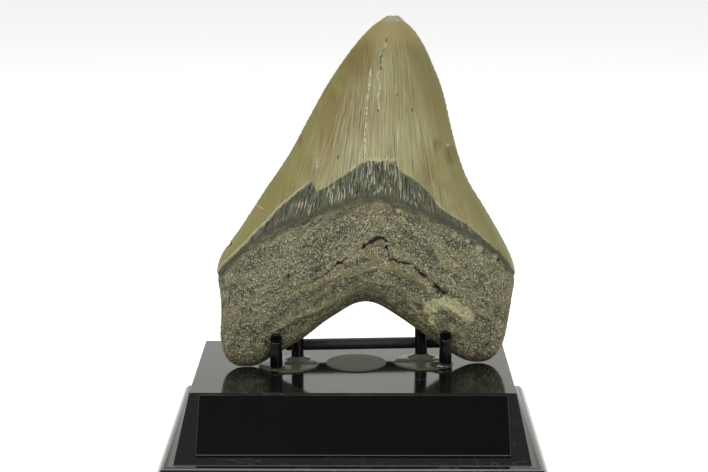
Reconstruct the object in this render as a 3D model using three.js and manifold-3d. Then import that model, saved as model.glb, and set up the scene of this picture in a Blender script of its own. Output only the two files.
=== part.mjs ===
// A fossil megalodon tooth on its display stand: the tooth leans in a small rod cradle
// on a slant-front base of black marble, with a bare plate on the slope.
// Millimetres, +Z up. The origin is the middle of the base's underside. The front faces -Y.
import * as THREE from "three";
import { ConvexGeometry } from "three/addons/geometries/ConvexGeometry.js";
import { mergeVertices } from "three/addons/utils/BufferGeometryUtils.js";
import Module from "manifold-3d";

// ---- driving dimensions ----
const GAP = 0.3; // clearance left between two pieces that touch

// the marble base: a block with a 45 degree front, flaring down to a quarter-round foot
const TOP_WIDTH = 113;
const TOP_DEPTH = 69;
const BLOCK_RISE = 19.5;
const FLARE = 3.9; // how far the sides and the back stand out at the block's bottom
const LEDGE = 1.5;
const FOOT_ROUND = 4.5;
const FOOT_EDGE = 3.5; // upright part of the foot, under its quarter round
const ROUND_STEPS = 6;
const BLOCK_ARRIS = 0.5;

// the plate on the slope
const PLATE = { width: 106.5, height: 23, thick: 1, bevel: 0.3, aside: 0.2, raised: 0.6 };

// the cradle, set on the base's top and turned a little with the tooth
const CRADLE_TURN = THREE.MathUtils.degToRad(4);
const DISC = { radius: 11, thick: 0.9, back: 37, middle: 3.6, pitch: 24.7 };
const SLEEVE_RADIUS = 2.25; // pegs and posts, in their glossy sleeves
const BAR_RADIUS = 2.1;
const PEG = { left: -25.7, right: 35.5, back: 29.8, top: 13.2 };
const POST = { left: -17.6, right: 28, back: 42.6, length: 47 };
const BAR = { back: 48, height: 4.6, left: -22.4, right: 38 };

// the tooth, on its own plane: u to the right, v up the tooth, w out of its bulging inner face
const LEAN = THREE.MathUtils.degToRad(12);
const TOOTH_AT = new THREE.Vector3(2.5, 35.4, 0.2);
const TOOTH_EDGE_POINTS = 136;
const TOOTH_RINGS = 11;
const RING_CROWDING = 1.35;
const TOOTH_HEART = [9, 49]; // every edge point is in straight sight of this one
const TOOTH_TIP_V = 127.6;
const CROWN_BEND = 3; // how far the tip curls towards the flat outer face

// the border between root and crown: highest in the middle, falling to both sides
const BORDER = { top: 62, fall: 0.42, rounding: 12, softness: 16 };
// how fat each part of a face is, as a factor and a power of the depth inside the outline
const INNER_ROOT = { fat: 4.1, lobeShare: 0.52, lobeEnd: 4, lobeStart: 34 };
const INNER_CROWN = { fat: 1.62, power: 0.78 };
const SWELLING = { high: 3.4, v: 42, acrossU: 24, acrossV: 13, fade: 6 };
const OUTER_ROOT = { thick: 3.6, edge: 0.62 };
const OUTER_CROWN = { fat: 0.75, power: 0.65 };

const OUTLINE = [
  // worn tip, then down the left cutting edge
  [19, 126.8], [15.8, 127.6], [12, 126.2], [6.9, 122.1], [-0.5, 113.4], [-8.1, 102.4],
  [-15.5, 89.4], [-22.9, 76.3], [-31.9, 63.3], [-40.5, 50.3], [-44.6, 44.8], [-48.1, 39.6],
  [-49.3, 33.4],
  // left lobe of the root
  [-48.2, 26], [-48.1, 17], [-48.5, 10], [-47, 4.7], [-44.1, 1.5], [-40.2, 0.3],
  [-35.1, 1.1], [-30.2, 4.1], [-24.8, 6.6], [-18.2, 10],
  // the arch between the lobes
  [-7.2, 18.6], [-1.7, 21.6], [3.4, 22.8], [7.9, 22.3], [17.3, 16.7], [28.2, 8.8],
  // right lobe of the root
  [36.6, 3.6], [41, 1.2], [45.8, 0.3], [49.8, 1.2], [52.8, 3.7], [55.3, 8.4], [57.2, 17.5],
  [58.6, 25.6], [59.6, 31.6],
  // up the right cutting edge
  [58.4, 37.6], [55.2, 44.7], [47.8, 58], [42.6, 66.9], [39.2, 76.5], [36.7, 86.8],
  [33.9, 99.8], [30.7, 108.7], [26.7, 117.8], [22.4, 123.8],
];

// ---- joining solids ----
const wasm = await Module();
wasm.setup();

function solidOf(geometry) {
  const bare = geometry.clone();
  bare.deleteAttribute("normal");
  bare.deleteAttribute("uv");
  const merged = mergeVertices(bare, 1e-4);
  return new wasm.Manifold(
    new wasm.Mesh({
      numProp: 3,
      vertProperties: merged.attributes.position.array,
      triVerts: new Uint32Array(merged.index.array),
    }),
  );
}

function geometryOf(solid) {
  const mesh = solid.getMesh();
  const geometry = new THREE.BufferGeometry();
  geometry.setAttribute("position", new THREE.BufferAttribute(mesh.vertProperties, 3));
  geometry.setIndex(new THREE.BufferAttribute(mesh.triVerts, 1));
  geometry.computeVertexNormals();
  return geometry;
}

function join(...geometries) {
  return geometryOf(geometries.map(solidOf).reduce((whole, next) => whole.add(next)));
}

// ---- the base ----
function rectangle(left, right, front, back, z) {
  return [
    new THREE.Vector3(left, front, z),
    new THREE.Vector3(right, front, z),
    new THREE.Vector3(right, back, z),
    new THREE.Vector3(left, back, z),
  ];
}

// A level of the block, "down" below its top. The front runs out as far as it drops, the other
// sides by the flare.
function blockLevel(down, inset = 0) {
  const out = (FLARE * down) / BLOCK_RISE - inset;
  return rectangle(-TOP_WIDTH / 2 - out, TOP_WIDTH / 2 + out, inset - down, TOP_DEPTH + out, -down);
}

function blockGeometry() {
  return new ConvexGeometry([
    ...blockLevel(0, BLOCK_ARRIS),
    ...blockLevel(BLOCK_ARRIS),
    ...blockLevel(BLOCK_RISE),
  ]);
}

// A quarter round carried round all four sides, on a low upright edge.
function footGeometry() {
  const border = LEDGE + FOOT_ROUND;
  const level = (out, z) =>
    rectangle(
      -TOP_WIDTH / 2 - FLARE - out,
      TOP_WIDTH / 2 + FLARE + out,
      -BLOCK_RISE - out,
      TOP_DEPTH + FLARE + out,
      z,
    );
  const points = [...level(border, -BLOCK_RISE - FOOT_ROUND - FOOT_EDGE)];
  for (let step = 0; step <= ROUND_STEPS; step++) {
    const angle = (step / ROUND_STEPS) * (Math.PI / 2);
    points.push(
      ...level(
        LEDGE + FOOT_ROUND * Math.cos(angle),
        -BLOCK_RISE - FOOT_ROUND * (1 - Math.sin(angle)),
      ),
    );
  }
  return new ConvexGeometry(points);
}

// ---- the plate ----
// A thin slab with a small bevel round its face; it lies in the plane of its group.
function plateGeometry() {
  const slab = (inset, z) =>
    rectangle(
      -PLATE.width / 2 + inset,
      PLATE.width / 2 - inset,
      -PLATE.height / 2 + inset,
      PLATE.height / 2 - inset,
      z,
    );
  return new ConvexGeometry([
    ...slab(0, 0),
    ...slab(0, PLATE.thick - PLATE.bevel),
    ...slab(PLATE.bevel, PLATE.thick),
  ]);
}

// ---- rods and discs ----
// A round rod with domed ends, from one end's outermost point to the other's.
function rodGeometry(from, to, radius) {
  const along = to.clone().sub(from);
  const capsule = new THREE.CapsuleGeometry(radius, along.length() - 2 * radius, 4, 16);
  const turn = new THREE.Quaternion().setFromUnitVectors(
    new THREE.Vector3(0, 1, 0),
    along.clone().normalize(),
  );
  const middle = from.clone().add(to).multiplyScalar(0.5);
  return capsule.applyQuaternion(turn).translate(middle.x, middle.y, middle.z);
}

// A short upright peg in front of the tooth, which stops a lobe from sliding off.
function pegGeometry(side) {
  return rodGeometry(
    new THREE.Vector3(side, PEG.back, 2 * GAP + DISC.thick),
    new THREE.Vector3(side, PEG.back, PEG.top),
    SLEEVE_RADIUS,
  );
}

function postGeometry(side) {
  const foot = new THREE.Vector3(side, POST.back, 2 * GAP + DISC.thick);
  const up = new THREE.Vector3(0, Math.sin(LEAN), Math.cos(LEAN));
  return rodGeometry(foot, foot.clone().addScaledVector(up, POST.length), SLEEVE_RADIUS);
}

function barGeometry() {
  return rodGeometry(
    new THREE.Vector3(BAR.left, BAR.back, BAR.height),
    new THREE.Vector3(BAR.right, BAR.back, BAR.height),
    BAR_RADIUS,
  );
}

function discGeometry() {
  const disc = new THREE.CylinderGeometry(DISC.radius, DISC.radius, DISC.thick, 40);
  return disc.rotateX(Math.PI / 2);
}

// ---- the tooth ----
const outlineCurve = new THREE.CatmullRomCurve3(
  OUTLINE.map(([u, v]) => new THREE.Vector3(u, v, 0)),
  true,
  "centripetal",
);
const fineOutline = outlineCurve.getSpacedPoints(600);

// How deep inside the outline a point lies, in mm: 0 at the edge and half the half-width in the
// middle of a long strip. Its square root puffs a shape up to an ellipse in section.
function fullness(u, v) {
  let pull = 0;
  for (const edge of fineOutline) pull += 1 / ((u - edge.x) ** 2 + (v - edge.y) ** 2 + 1e-6);
  const step = outlineCurve.getLength() / fineOutline.length;
  return Math.PI / (step * pull);
}

// 0 in the root, 1 in the crown; the border climbs from both sides to the middle.
function crownShare(u, v) {
  const aside = Math.hypot(u - TOOTH_HEART[0], BORDER.rounding) - BORDER.rounding;
  const border = BORDER.top - BORDER.fall * aside;
  return THREE.MathUtils.smoothstep(v, border - BORDER.softness, border + BORDER.softness);
}

// The inner face: a fat root with a swelling at its heart and thin lobes, and a lens-shaped crown.
function innerBulge(u, v) {
  const depth = fullness(u, v);
  const rise = THREE.MathUtils.smoothstep(v, INNER_ROOT.lobeEnd, INNER_ROOT.lobeStart);
  const lobes = THREE.MathUtils.lerp(INNER_ROOT.lobeShare, 1, rise);
  const offU = (u - TOOTH_HEART[0]) / SWELLING.acrossU;
  const offV = (v - SWELLING.v) / SWELLING.acrossV;
  const swelling = SWELLING.high * Math.exp(-(offU ** 2) - offV ** 2) * Math.min(1, depth / SWELLING.fade);
  const root = lobes * INNER_ROOT.fat * Math.sqrt(depth) + swelling;
  const crown = INNER_CROWN.fat * depth ** INNER_CROWN.power;
  return THREE.MathUtils.lerp(root, crown, crownShare(u, v));
}

// The outer face is nearly flat.
function outerBulge(u, v) {
  const depth = fullness(u, v);
  const root = OUTER_ROOT.thick * Math.tanh(OUTER_ROOT.edge * Math.sqrt(depth));
  const crown = OUTER_CROWN.fat * depth ** OUTER_CROWN.power;
  return THREE.MathUtils.lerp(root, crown, crownShare(u, v));
}

// Rings shrink from the edge to the heart, over the inner face and then over the outer one. They
// stand closer together near the edge, where the faces curve most.
function toothGeometry() {
  const edge = outlineCurve.getSpacedPoints(TOOTH_EDGE_POINTS).slice(0, -1);
  const heart = new THREE.Vector2(...TOOTH_HEART);
  const positions = [];
  const faces = [];
  const place = (u, v, out) => {
    const bend = CROWN_BEND * (v / TOOTH_TIP_V) ** 2;
    positions.push(u, bend - out, v);
    return positions.length / 3 - 1;
  };
  const rim = edge.map((point) => place(point.x, point.y, 0));
  for (const [bulge, side] of [[innerBulge, 1], [outerBulge, -1]]) {
    let outer = rim;
    for (let ring = 1; ring < TOOTH_RINGS; ring++) {
      const inward = (ring / TOOTH_RINGS) ** RING_CROWDING;
      const inner = edge.map((point) => {
        const u = THREE.MathUtils.lerp(point.x, heart.x, inward);
        const v = THREE.MathUtils.lerp(point.y, heart.y, inward);
        return place(u, v, side * bulge(u, v));
      });
      edge.forEach((_, i) => {
        const next = (i + 1) % edge.length;
        faces.push([outer[i], outer[next], inner[next]], [outer[i], inner[next], inner[i]]);
        if (side < 0) faces.slice(-2).forEach((face) => face.reverse());
      });
      outer = inner;
    }
    const middle = place(heart.x, heart.y, side * bulge(heart.x, heart.y));
    edge.forEach((_, i) => {
      const face = [outer[i], outer[(i + 1) % edge.length], middle];
      faces.push(side > 0 ? face : face.reverse());
    });
  }
  const geometry = new THREE.BufferGeometry();
  geometry.setAttribute("position", new THREE.Float32BufferAttribute(positions, 3));
  geometry.setIndex(faces.flat());
  geometry.computeVertexNormals();
  return geometry;
}

// ---- finishes ----
const finish = (color, roughness, metalness = 0) =>
  new THREE.MeshStandardMaterial({ color, roughness, metalness });
const FOSSIL = finish(0x6b6448, 0.55);
const MARBLE = finish(0x16181a, 0.08);
const PLATE_BLACK = finish(0x0d0e0c, 0.3, 0.4);
const SLEEVE = finish(0x0a0c0b, 0.12);
const BAR_BLACK = finish(0x121311, 0.4);
const CLEAR_PAD = finish(0x8b8b7a, 0.15);
const MATT_PAD = finish(0x62634f, 0.6);

function piece(name, geometry, material) {
  const mesh = new THREE.Mesh(geometry, material);
  mesh.name = name;
  return mesh;
}

// ---- the assembly ----
const tooth = piece("tooth", toothGeometry(), FOSSIL);
tooth.position.copy(TOOTH_AT);
tooth.rotation.x = -LEAN;

const cradle = new THREE.Group();
cradle.rotation.z = CRADLE_TURN;
cradle.add(
  tooth,
  piece("rear_bar", barGeometry(), BAR_BLACK),
  piece("left_peg", pegGeometry(PEG.left), SLEEVE),
  piece("right_peg", pegGeometry(PEG.right), SLEEVE),
  piece("left_post", postGeometry(POST.left), SLEEVE),
  piece("right_post", postGeometry(POST.right), SLEEVE),
);
[["left_disc", -1, CLEAR_PAD], ["middle_disc", 0, MATT_PAD], ["right_disc", 1, CLEAR_PAD]].forEach(
  ([name, place, material]) => {
    const disc = piece(name, discGeometry(), material);
    disc.position.set(DISC.middle + place * DISC.pitch, DISC.back, GAP + DISC.thick / 2);
    cradle.add(disc);
  },
);

const plate = piece("name_plate", plateGeometry(), PLATE_BLACK);
plate.rotation.x = Math.PI / 4;
const slopeMiddle = BLOCK_RISE / 2 - PLATE.raised;
plate.position.set(
  PLATE.aside,
  -slopeMiddle - GAP * Math.SQRT1_2,
  -slopeMiddle + GAP * Math.SQRT1_2,
);

const base = piece("marble_base", join(blockGeometry(), footGeometry()), MARBLE);

// All of the above is drawn from the middle of the top's front edge; the part's origin is below it.
const stand = new THREE.Group();
stand.position.set(
  0,
  -(TOP_DEPTH + FLARE - BLOCK_RISE) / 2,
  BLOCK_RISE + FOOT_ROUND + FOOT_EDGE,
);
stand.add(base, plate, cradle);

const part = new THREE.Group();
part.add(stand);
export default part;
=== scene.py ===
# %% [markdown]
# # A fossil tooth on its stand
# A big fossil shark tooth leans in a small rod cradle on a block of black marble with a slanted
# front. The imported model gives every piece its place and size. This lesson gives each piece its
# real surface: grainy root, streaked enamel, polished stone, glossy sleeves and drops of set glue.

from math import cos, radians, sin

import bmesh
import bpy
import numpy as np
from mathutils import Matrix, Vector, noise


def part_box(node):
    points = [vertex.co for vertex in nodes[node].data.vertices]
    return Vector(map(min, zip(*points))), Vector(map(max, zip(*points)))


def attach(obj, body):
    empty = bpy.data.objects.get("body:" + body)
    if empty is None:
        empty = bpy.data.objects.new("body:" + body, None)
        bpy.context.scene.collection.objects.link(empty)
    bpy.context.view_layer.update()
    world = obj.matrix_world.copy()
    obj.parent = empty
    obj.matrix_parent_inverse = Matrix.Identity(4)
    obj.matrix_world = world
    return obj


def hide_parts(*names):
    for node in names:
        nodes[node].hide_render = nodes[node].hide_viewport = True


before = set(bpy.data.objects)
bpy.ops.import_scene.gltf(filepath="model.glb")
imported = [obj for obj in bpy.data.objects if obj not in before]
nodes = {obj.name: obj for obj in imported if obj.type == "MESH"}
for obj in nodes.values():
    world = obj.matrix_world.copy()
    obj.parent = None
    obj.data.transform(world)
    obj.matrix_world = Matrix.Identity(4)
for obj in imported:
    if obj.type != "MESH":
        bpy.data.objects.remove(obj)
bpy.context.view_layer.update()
MM = 0.001
base_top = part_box("marble_base")[1].z
print("nodes:", ", ".join(sorted(nodes)))

# %% [markdown]
# ## Camera
# The stand is seen from just left of its middle, a little from above. A long lens keeps the base
# from spreading, so the camera stands over half a metre away.

# %% Camera
CAMERA_AT = Vector((3.31, -620.53, 205.80)) * MM
LOOK_DOWN = radians(11.7)
LOOK_LEFT = radians(0.28)
LENS = 91.02

camera = bpy.data.objects.new("camera", bpy.data.cameras.new("camera"))
bpy.context.scene.collection.objects.link(camera)
bpy.context.scene.camera = camera
camera.data.lens = LENS
camera.location = CAMERA_AT
level = cos(LOOK_DOWN)
looking = Vector((-sin(LOOK_LEFT) * level, cos(LOOK_LEFT) * level, -sin(LOOK_DOWN)))
camera.rotation_euler = looking.to_track_quat("-Z", "Y").to_euler()
print("camera", round(camera.location.length, 3), "m from the origin, lens", LENS, "mm")

# %% [markdown]
# ## Small helpers for node trees
# A material is a tree of nodes. These helpers add nodes to the tree that was opened last and
# return an output, so that a finish reads from top to bottom like a recipe. A value may be a
# number, a colour or an output.

# %% Node helpers
STUDIO_LIGHT = 1.6  # the lamps make a surface this much brighter than its own colour
SOCKETS = {
    "base": "Base Color", "rough": "Roughness", "normal": "Normal", "specular": "Specular IOR Level",
    "ior": "IOR", "clear": "Transmission Weight", "metal": "Metallic", "glow": "Emission Color",
    "glow_strength": "Emission Strength",
}


def seen(red, green, blue):
    """A colour as it looks under the lamps, on a 0 to 255 scale, as the surface's own colour."""
    def own(value):
        value /= 255
        linear = value / 12.92 if value <= 0.04045 else ((value + 0.055) / 1.055) ** 2.4
        return linear / STUDIO_LIGHT
    return (own(red), own(green), own(blue), 1)


def feed(socket, value):
    if isinstance(value, bpy.types.NodeSocket):
        tree.links.new(value, socket)
    else:
        socket.default_value = value


def add(kind, output, inputs, **settings):
    """Adds a node, feeds the inputs that it names and gives one of its outputs."""
    node = tree.nodes.new("ShaderNode" + kind)
    for name, value in settings.items():
        setattr(node, name, value)
    for socket, value in inputs.items():
        feed(node.inputs[socket], value)
    return node.outputs[output] if output is not None else node.outputs


def math_of(operation, *values):
    return add("Math", 0, dict(enumerate(values)), operation=operation)


def product(first, *others):
    for other in others:
        first = math_of("MULTIPLY", first, other)
    return first


def span(value, low, high, out_low=0.0, out_high=1.0):
    """A smooth step of a value from one range to another."""
    ends = {"From Min": low, "From Max": high, "To Min": out_low, "To Max": out_high}
    return add("MapRange", "Result", {"Value": value, **ends}, interpolation_type="SMOOTHSTEP")


def mix(factor, first, second):
    return add("Mix", 2, {0: factor, 6: first, 7: second}, data_type="RGBA")


def paint(ground, *coats):
    """Lays each coat, a mask and its colour, over the ground in turn."""
    for mask, colour in coats:
        ground = mix(mask, ground, colour)
    return ground


def stretch(vector, scale, turn=(0, 0, 0), move=(0, 0, 0)):
    inputs = {"Vector": vector, "Scale": scale, "Rotation": turn, "Location": move}
    return add("Mapping", "Vector", inputs)


def clouds(vector, scale, detail=2.0, roughness=0.5, distortion=0.0):
    inputs = {"Scale": scale, "Detail": detail, "Roughness": roughness, "Distortion": distortion}
    return add("TexNoise", "Fac", {"Vector": vector, **inputs})


def oval(vector, at, size, turn=0.0):
    """1 in the middle of an oval patch, fading to 0 at its edge."""
    inputs = {"Vector": vector, "Location": at, "Rotation": (0, 0, turn), "Scale": size}
    apart = add("Mapping", "Vector", inputs, vector_type="TEXTURE")
    return span(add("VectorMath", "Value", {0: apart}, operation="LENGTH"), 1.0, 0.35)


def bump(height, distance):
    return add("Bump", "Normal", {"Height": height, "Distance": distance})


def named(name, output="Fac"):
    return add("Attribute", output, {}, attribute_name=name)


def place():
    return add("TexCoord", "Object", {})


def new_finish(name):
    """A material and the sockets of its shader. Its tree becomes the open one."""
    global tree
    material = bpy.data.materials.new(name)
    material.use_nodes = True
    tree = material.node_tree
    return material, tree.nodes["Principled BSDF"].inputs


def set_shader(shader, **values):
    """Feeds the shader. A number or a colour is set on the socket itself."""
    for name, value in values.items():
        feed(shader[SOCKETS[name]], value)


def new_group(name, inputs, outputs):
    """A shader node group with named sockets, and its inner ends. It becomes the open tree."""
    global tree
    tree = bpy.data.node_groups.new(name, "ShaderNodeTree")
    for in_out, sockets in (("INPUT", inputs), ("OUTPUT", outputs)):
        for socket, kind in sockets:
            tree.interface.new_socket(socket, in_out=in_out, socket_type="NodeSocket" + kind)
    start = tree.nodes.new("NodeGroupInput").outputs
    end = tree.nodes.new("NodeGroupOutput").inputs
    return tree, start, end


def use_group(group, **values):
    inputs = {name.replace("_", " ").capitalize(): value for name, value in values.items()}
    return add("Group", None, inputs, node_tree=group)


print("helpers ready")

# %% [markdown]
# ## Light and floor
# The room is a studio with a bright wall behind the stand, dimmer overhead and nearly dark at the
# viewer's side. Polished stone shows all three: the wall on its flat top, the ceiling on its
# slanted front, and the dark side in the rods. Two soft lamps stand in front and one hangs over
# the stand, and the floor is a pale table.

# %% Light and floor
WALL_LIGHT = (0.97, 0.985, 0.91, 1)
CEILING_LIGHT = (0.30, 0.30, 0.30, 1)
NEAR_SIDE_LIGHT = (0.10, 0.10, 0.10, 1)
KEY_WATTS = 9.8
FILL_WATTS = 5.4
OVERHEAD_WATTS = 3.2

bpy.context.scene.view_settings.view_transform = "Standard"
world = bpy.data.worlds.new("studio")
bpy.context.scene.world = world
world.use_nodes = True
tree = world.node_tree
_, deep_in, high_up = add("SeparateXYZ", None, {0: add("TexCoord", "Generated", {})})
overhead = span(high_up, 0.34, 0.86)
around = mix(span(deep_in, -0.35, 0.85), NEAR_SIDE_LIGHT, WALL_LIGHT)
feed(tree.nodes["Background"].inputs["Color"], mix(overhead, around, CEILING_LIGHT))


def softbox(name, at, size, watts):
    lamp = bpy.data.lights.new(name, "AREA")
    lamp.shape = "DISK"
    lamp.size = size
    lamp.energy = watts
    holder = bpy.data.objects.new(name, lamp)
    bpy.context.scene.collection.objects.link(holder)
    holder.location = at
    aim = Vector((0, 0, 0.07)) - Vector(at)
    holder.rotation_euler = aim.to_track_quat("-Z", "Y").to_euler()


softbox("key", (-0.45, -0.95, 0.85), 0.8, KEY_WATTS)
softbox("fill", (0.75, -0.95, 0.45), 0.9, FILL_WATTS)
softbox("overhead", (0.03, 0.45, 1.1), 0.6, OVERHEAD_WATTS)

bpy.ops.mesh.primitive_plane_add(size=16, location=(0, 4, 0))
floor = bpy.context.object
floor.name = "floor"
floor_finish, shader = new_finish("pale_table")
set_shader(
    shader, base=(0.86, 0.86, 0.86, 1), rough=0.9, specular=0.1, glow=(1, 1, 1, 1), glow_strength=0.55
)
floor.data.materials.append(floor_finish)
print("lamps:", KEY_WATTS, FILL_WATTS, OVERHEAD_WATTS, "W")

# %% [markdown]
# ## Modelling helpers
# Each new piece starts from a primitive. Faces or edges are then picked by their place or their
# normal, as a hand would pick them, and edit-mode operators shape them. Modifiers finish the
# piece and are applied, and its place goes into its mesh.

# %% Modelling helpers
def take(piece):
    bpy.ops.object.select_all(action="DESELECT")
    piece.select_set(True)
    bpy.context.view_layer.objects.active = piece


def settle(piece, name):
    """Moves the object's place into its mesh and names it."""
    take(piece)
    bpy.ops.object.transform_apply(location=True, rotation=True, scale=True)
    piece.name = name
    piece.data.name = name
    return piece


def pick(piece, faces=None, edges=None):
    """Opens the piece in edit mode with only these faces or edges selected."""
    take(piece)
    bpy.ops.object.mode_set(mode="EDIT")
    bpy.ops.mesh.select_mode(type="FACE" if faces else "EDGE")
    bpy.ops.mesh.select_all(action="DESELECT")
    form = bmesh.from_edit_mesh(piece.data)
    form.normal_update()
    for item in form.faces if faces else form.edges:
        if (faces or edges)(item):
            item.select_set(True)
    bmesh.update_edit_mesh(piece.data)


def level_at(height):
    """A test for edges that lie level at this height."""
    return lambda edge: all(abs(vertex.co.z - height) < 1e-6 for vertex in edge.verts)


def leave():
    bpy.ops.object.mode_set(mode="OBJECT")


def slice_level(piece, height):
    """Cuts a level ring of edges into the piece."""
    pick(piece, faces=lambda face: True)
    bpy.ops.mesh.bisect(plane_co=(0, 0, height), plane_no=(0, 0, 1))
    leave()


def resize_ring(piece, height, girth):
    """Makes a level ring of the piece wider or narrower."""
    pick(piece, edges=level_at(height))
    bpy.ops.transform.resize(value=(girth, girth, 1), center_override=(0, 0, 0))
    leave()


def extrude(move):
    bpy.ops.mesh.extrude_region_move(TRANSFORM_OT_translate={"value": move})


def close(piece):
    """Turns all normals outwards and leaves edit mode."""
    bpy.ops.mesh.select_all(action="SELECT")
    bpy.ops.mesh.normals_make_consistent(inside=False)
    leave()


def modify(piece, kind, **values):
    take(piece)
    modifier = piece.modifiers.new(kind.lower(), kind)
    for name, value in values.items():
        setattr(modifier, name, value)
    bpy.ops.object.modifier_apply(modifier=modifier.name)


def smooth(piece, angle=40):
    take(piece)
    bpy.ops.object.shade_smooth_by_angle(angle=radians(angle))


def bevel_arrises(piece, width, segments, angle):
    """Rounds all sharp edges, and gives the bevels the second of the piece's two finishes."""
    for _ in range(2):
        piece.data.materials.append(None)
    modify(
        piece, "BEVEL", width=width, segments=segments, limit_method="ANGLE",
        angle_limit=radians(angle), material=1,
    )


def finish_piece(piece, slot, stands_for, *materials):
    """Gives the piece its finishes, its body and the nodes that it stands for. The slot is not used."""
    for index, material in enumerate(materials):
        if index < len(piece.data.materials):
            piece.data.materials[index] = material
        else:
            piece.data.materials.append(material)
    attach(piece, "root")
    if stands_for:
        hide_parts(*stands_for)
    print(piece.name, len(piece.data.polygons), "faces")


print("modelling helpers ready")

# %% [markdown]
# ## Tooth: the clean form
# The tooth stands on a plane of its own, leaning back and turned a little with the cradle. Along
# this plane u runs to the right and v up the tooth, and w points out of its bulging inner face.
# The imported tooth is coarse, so a copy is merged, its cutting edge is creased, and it is
# subdivided and remeshed into small even faces that can take carving.

# %% Tooth form
TURN = radians(4)
LEAN = radians(12)
TOOTH_FOOT = np.array((0.02, 8.79, 27.70))
ALONG_U = np.array((cos(TURN), sin(TURN), 0))
BACKWARD = np.array((-sin(TURN), cos(TURN), 0))
ALONG_V = BACKWARD * sin(LEAN) + np.array((0, 0, cos(LEAN)))
ALONG_W = np.cross(ALONG_U, ALONG_V)
TIP_V = 127.6
CROWN_BEND = 3.0
TOOTH_CELL = 0.53 * MM


def plan_of(points):
    """Points in metres as (u, v, out) in mm: out is measured from the tooth's curved middle."""
    apart = points / MM - TOOTH_FOOT
    u, v, w = apart @ ALONG_U, apart @ ALONG_V, apart @ ALONG_W
    return u, v, w + CROWN_BEND * (v / TIP_V) ** 2


tooth = bpy.data.objects.new("fossil_tooth", nodes["tooth"].data.copy())
bpy.context.scene.collection.objects.link(tooth)
form = bmesh.new()
form.from_mesh(tooth.data)
bmesh.ops.remove_doubles(form, verts=form.verts, dist=1e-5)
form.normal_update()
crease = form.edges.layers.float.new("crease_edge")
outward = Vector(ALONG_W)
rim = []
for edge in form.edges:
    sides = [face.normal.dot(outward) > 0 for face in edge.link_faces]
    if len(set(sides)) == 2:
        edge[crease] = 0.9
        rim.append([vertex.co[:] for vertex in edge.verts])
form.to_mesh(tooth.data)
form.free()
rim_u, rim_v, _ = plan_of(np.array(rim).reshape(-1, 3))
rim_lines = np.stack((rim_u, rim_v), 1).reshape(-1, 2, 2)
modify(tooth, "SUBSURF", levels=2, render_levels=2)
modify(tooth, "REMESH", mode="VOXEL", voxel_size=TOOTH_CELL, use_smooth_shade=True)
modify(tooth, "SMOOTH", factor=0.5, iterations=3)
print("tooth:", len(rim), "rim edges,", len(tooth.data.polygons), "faces")

# %% [markdown]
# ## Tooth: where its features lie
# A few lines on the tooth's plane say where things are: the edge of the enamel, the
# lower edge of the dark band beneath it, the cracks and the vessel holes of the root, and the
# soft ridges. Each field below is measured from them at every point of the surface.

# %% Feature lines
ENAMEL_EDGE = [
    (-49.5, 33.4), (-47.2, 36.8), (-40.7, 42.7), (-33.8, 49.8), (-30.2, 53), (-27.2, 56.6),
    (-24.3, 59), (-20, 62.6), (-14.9, 66.3), (-14.2, 65.4), (-13.1, 62.5), (-7, 65.7), (-1.5, 69.2),
    (1.6, 71.4), (3.9, 73.2), (15.4, 72.9), (16.4, 70.0), (18, 68.7), (22.3, 66.1), (27, 61.7),
    (30.6, 56.6), (34.9, 53.6), (41.4, 49.6), (48.6, 43.7), (53.6, 39.3), (57.6, 34.4), (60, 31),
]
BAND_FOOT = [
    (-50, 31.5), (-42, 39.5), (-34, 46), (-28.1, 49), (-15.8, 53.9), (-7.1, 56.3), (2, 59.1),
    (9.2, 59.7), (16.4, 57.5), (23.6, 54.5), (34.1, 50.4), (44, 44.5), (53.3, 38), (60, 30),
]
OUTER_ENAMEL_EDGE = [(-49.5, 33.4), (-36, 36), (-18, 39.5), (5, 41.5), (30, 39), (50, 35), (60, 31)]
# each crack: its points, then its width and depth
CRACKS = [
    ([(5.4, 44.4), (7.0, 45.6), (8.4, 46.1), (9.8, 45.7), (11.2, 44.7)], 0.7, 2.4),
    ([(3.1, 42.7), (4.2, 43.6), (5.4, 44.4)], 0.4, 1.2),
    ([(-5.4, 37.0), (-3.6, 38.6), (-1.5, 39.8), (0.6, 40.7), (2.4, 42.2)], 0.32, 0.6),
    ([(11.4, 42.2), (11.7, 40.1), (12.8, 37.9)], 0.32, 0.5),
    ([(12.8, 37.9), (14.9, 37.1), (17.7, 36.7), (20.2, 36.2), (22.3, 34.0), (24.4, 32.0)], 0.4, 1.3),
    ([(22.6, 33.8), (24.4, 32.0), (27.2, 29.8), (30.6, 26.5), (32.6, 25.2)], 0.5, 1.9),
    ([(34.1, 24.7), (39.8, 24.0), (45.6, 21.0), (52, 17)], 0.5, 0.4),
    ([(36, 31), (42, 27), (47, 22.5), (50, 19)], 0.45, 0.3),
    ([(-5.4, 37.0), (-7.9, 36.0), (-9.7, 33.4), (-13.5, 31.4)], 0.32, 0.55),
    ([(-13.5, 31.4), (-17.8, 30.2), (-23.4, 28.2), (-28.3, 26.0)], 0.3, 0.45),
    ([(-28.3, 26.0), (-34, 22.5), (-40, 19.5)], 0.45, 0.3),
    ([(-7.6, 21.6), (-18.1, 17.4), (-27, 13)], 0.45, 0.35),
    ([(14.6, 122.4), (13.9, 119.9), (13.0, 114.5), (12.2, 113.9), (11.1, 110.8), (10.7, 107.1)], 0.3, 0.6),
    ([(10.7, 107.1), (9.8, 103.5), (10.2, 98), (9.3, 93)], 0.2, 0.18),
    ([(-34, 58.9), (-32.1, 57.9), (-31.4, 56.8)], 0.28, 0.3),
]
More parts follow.
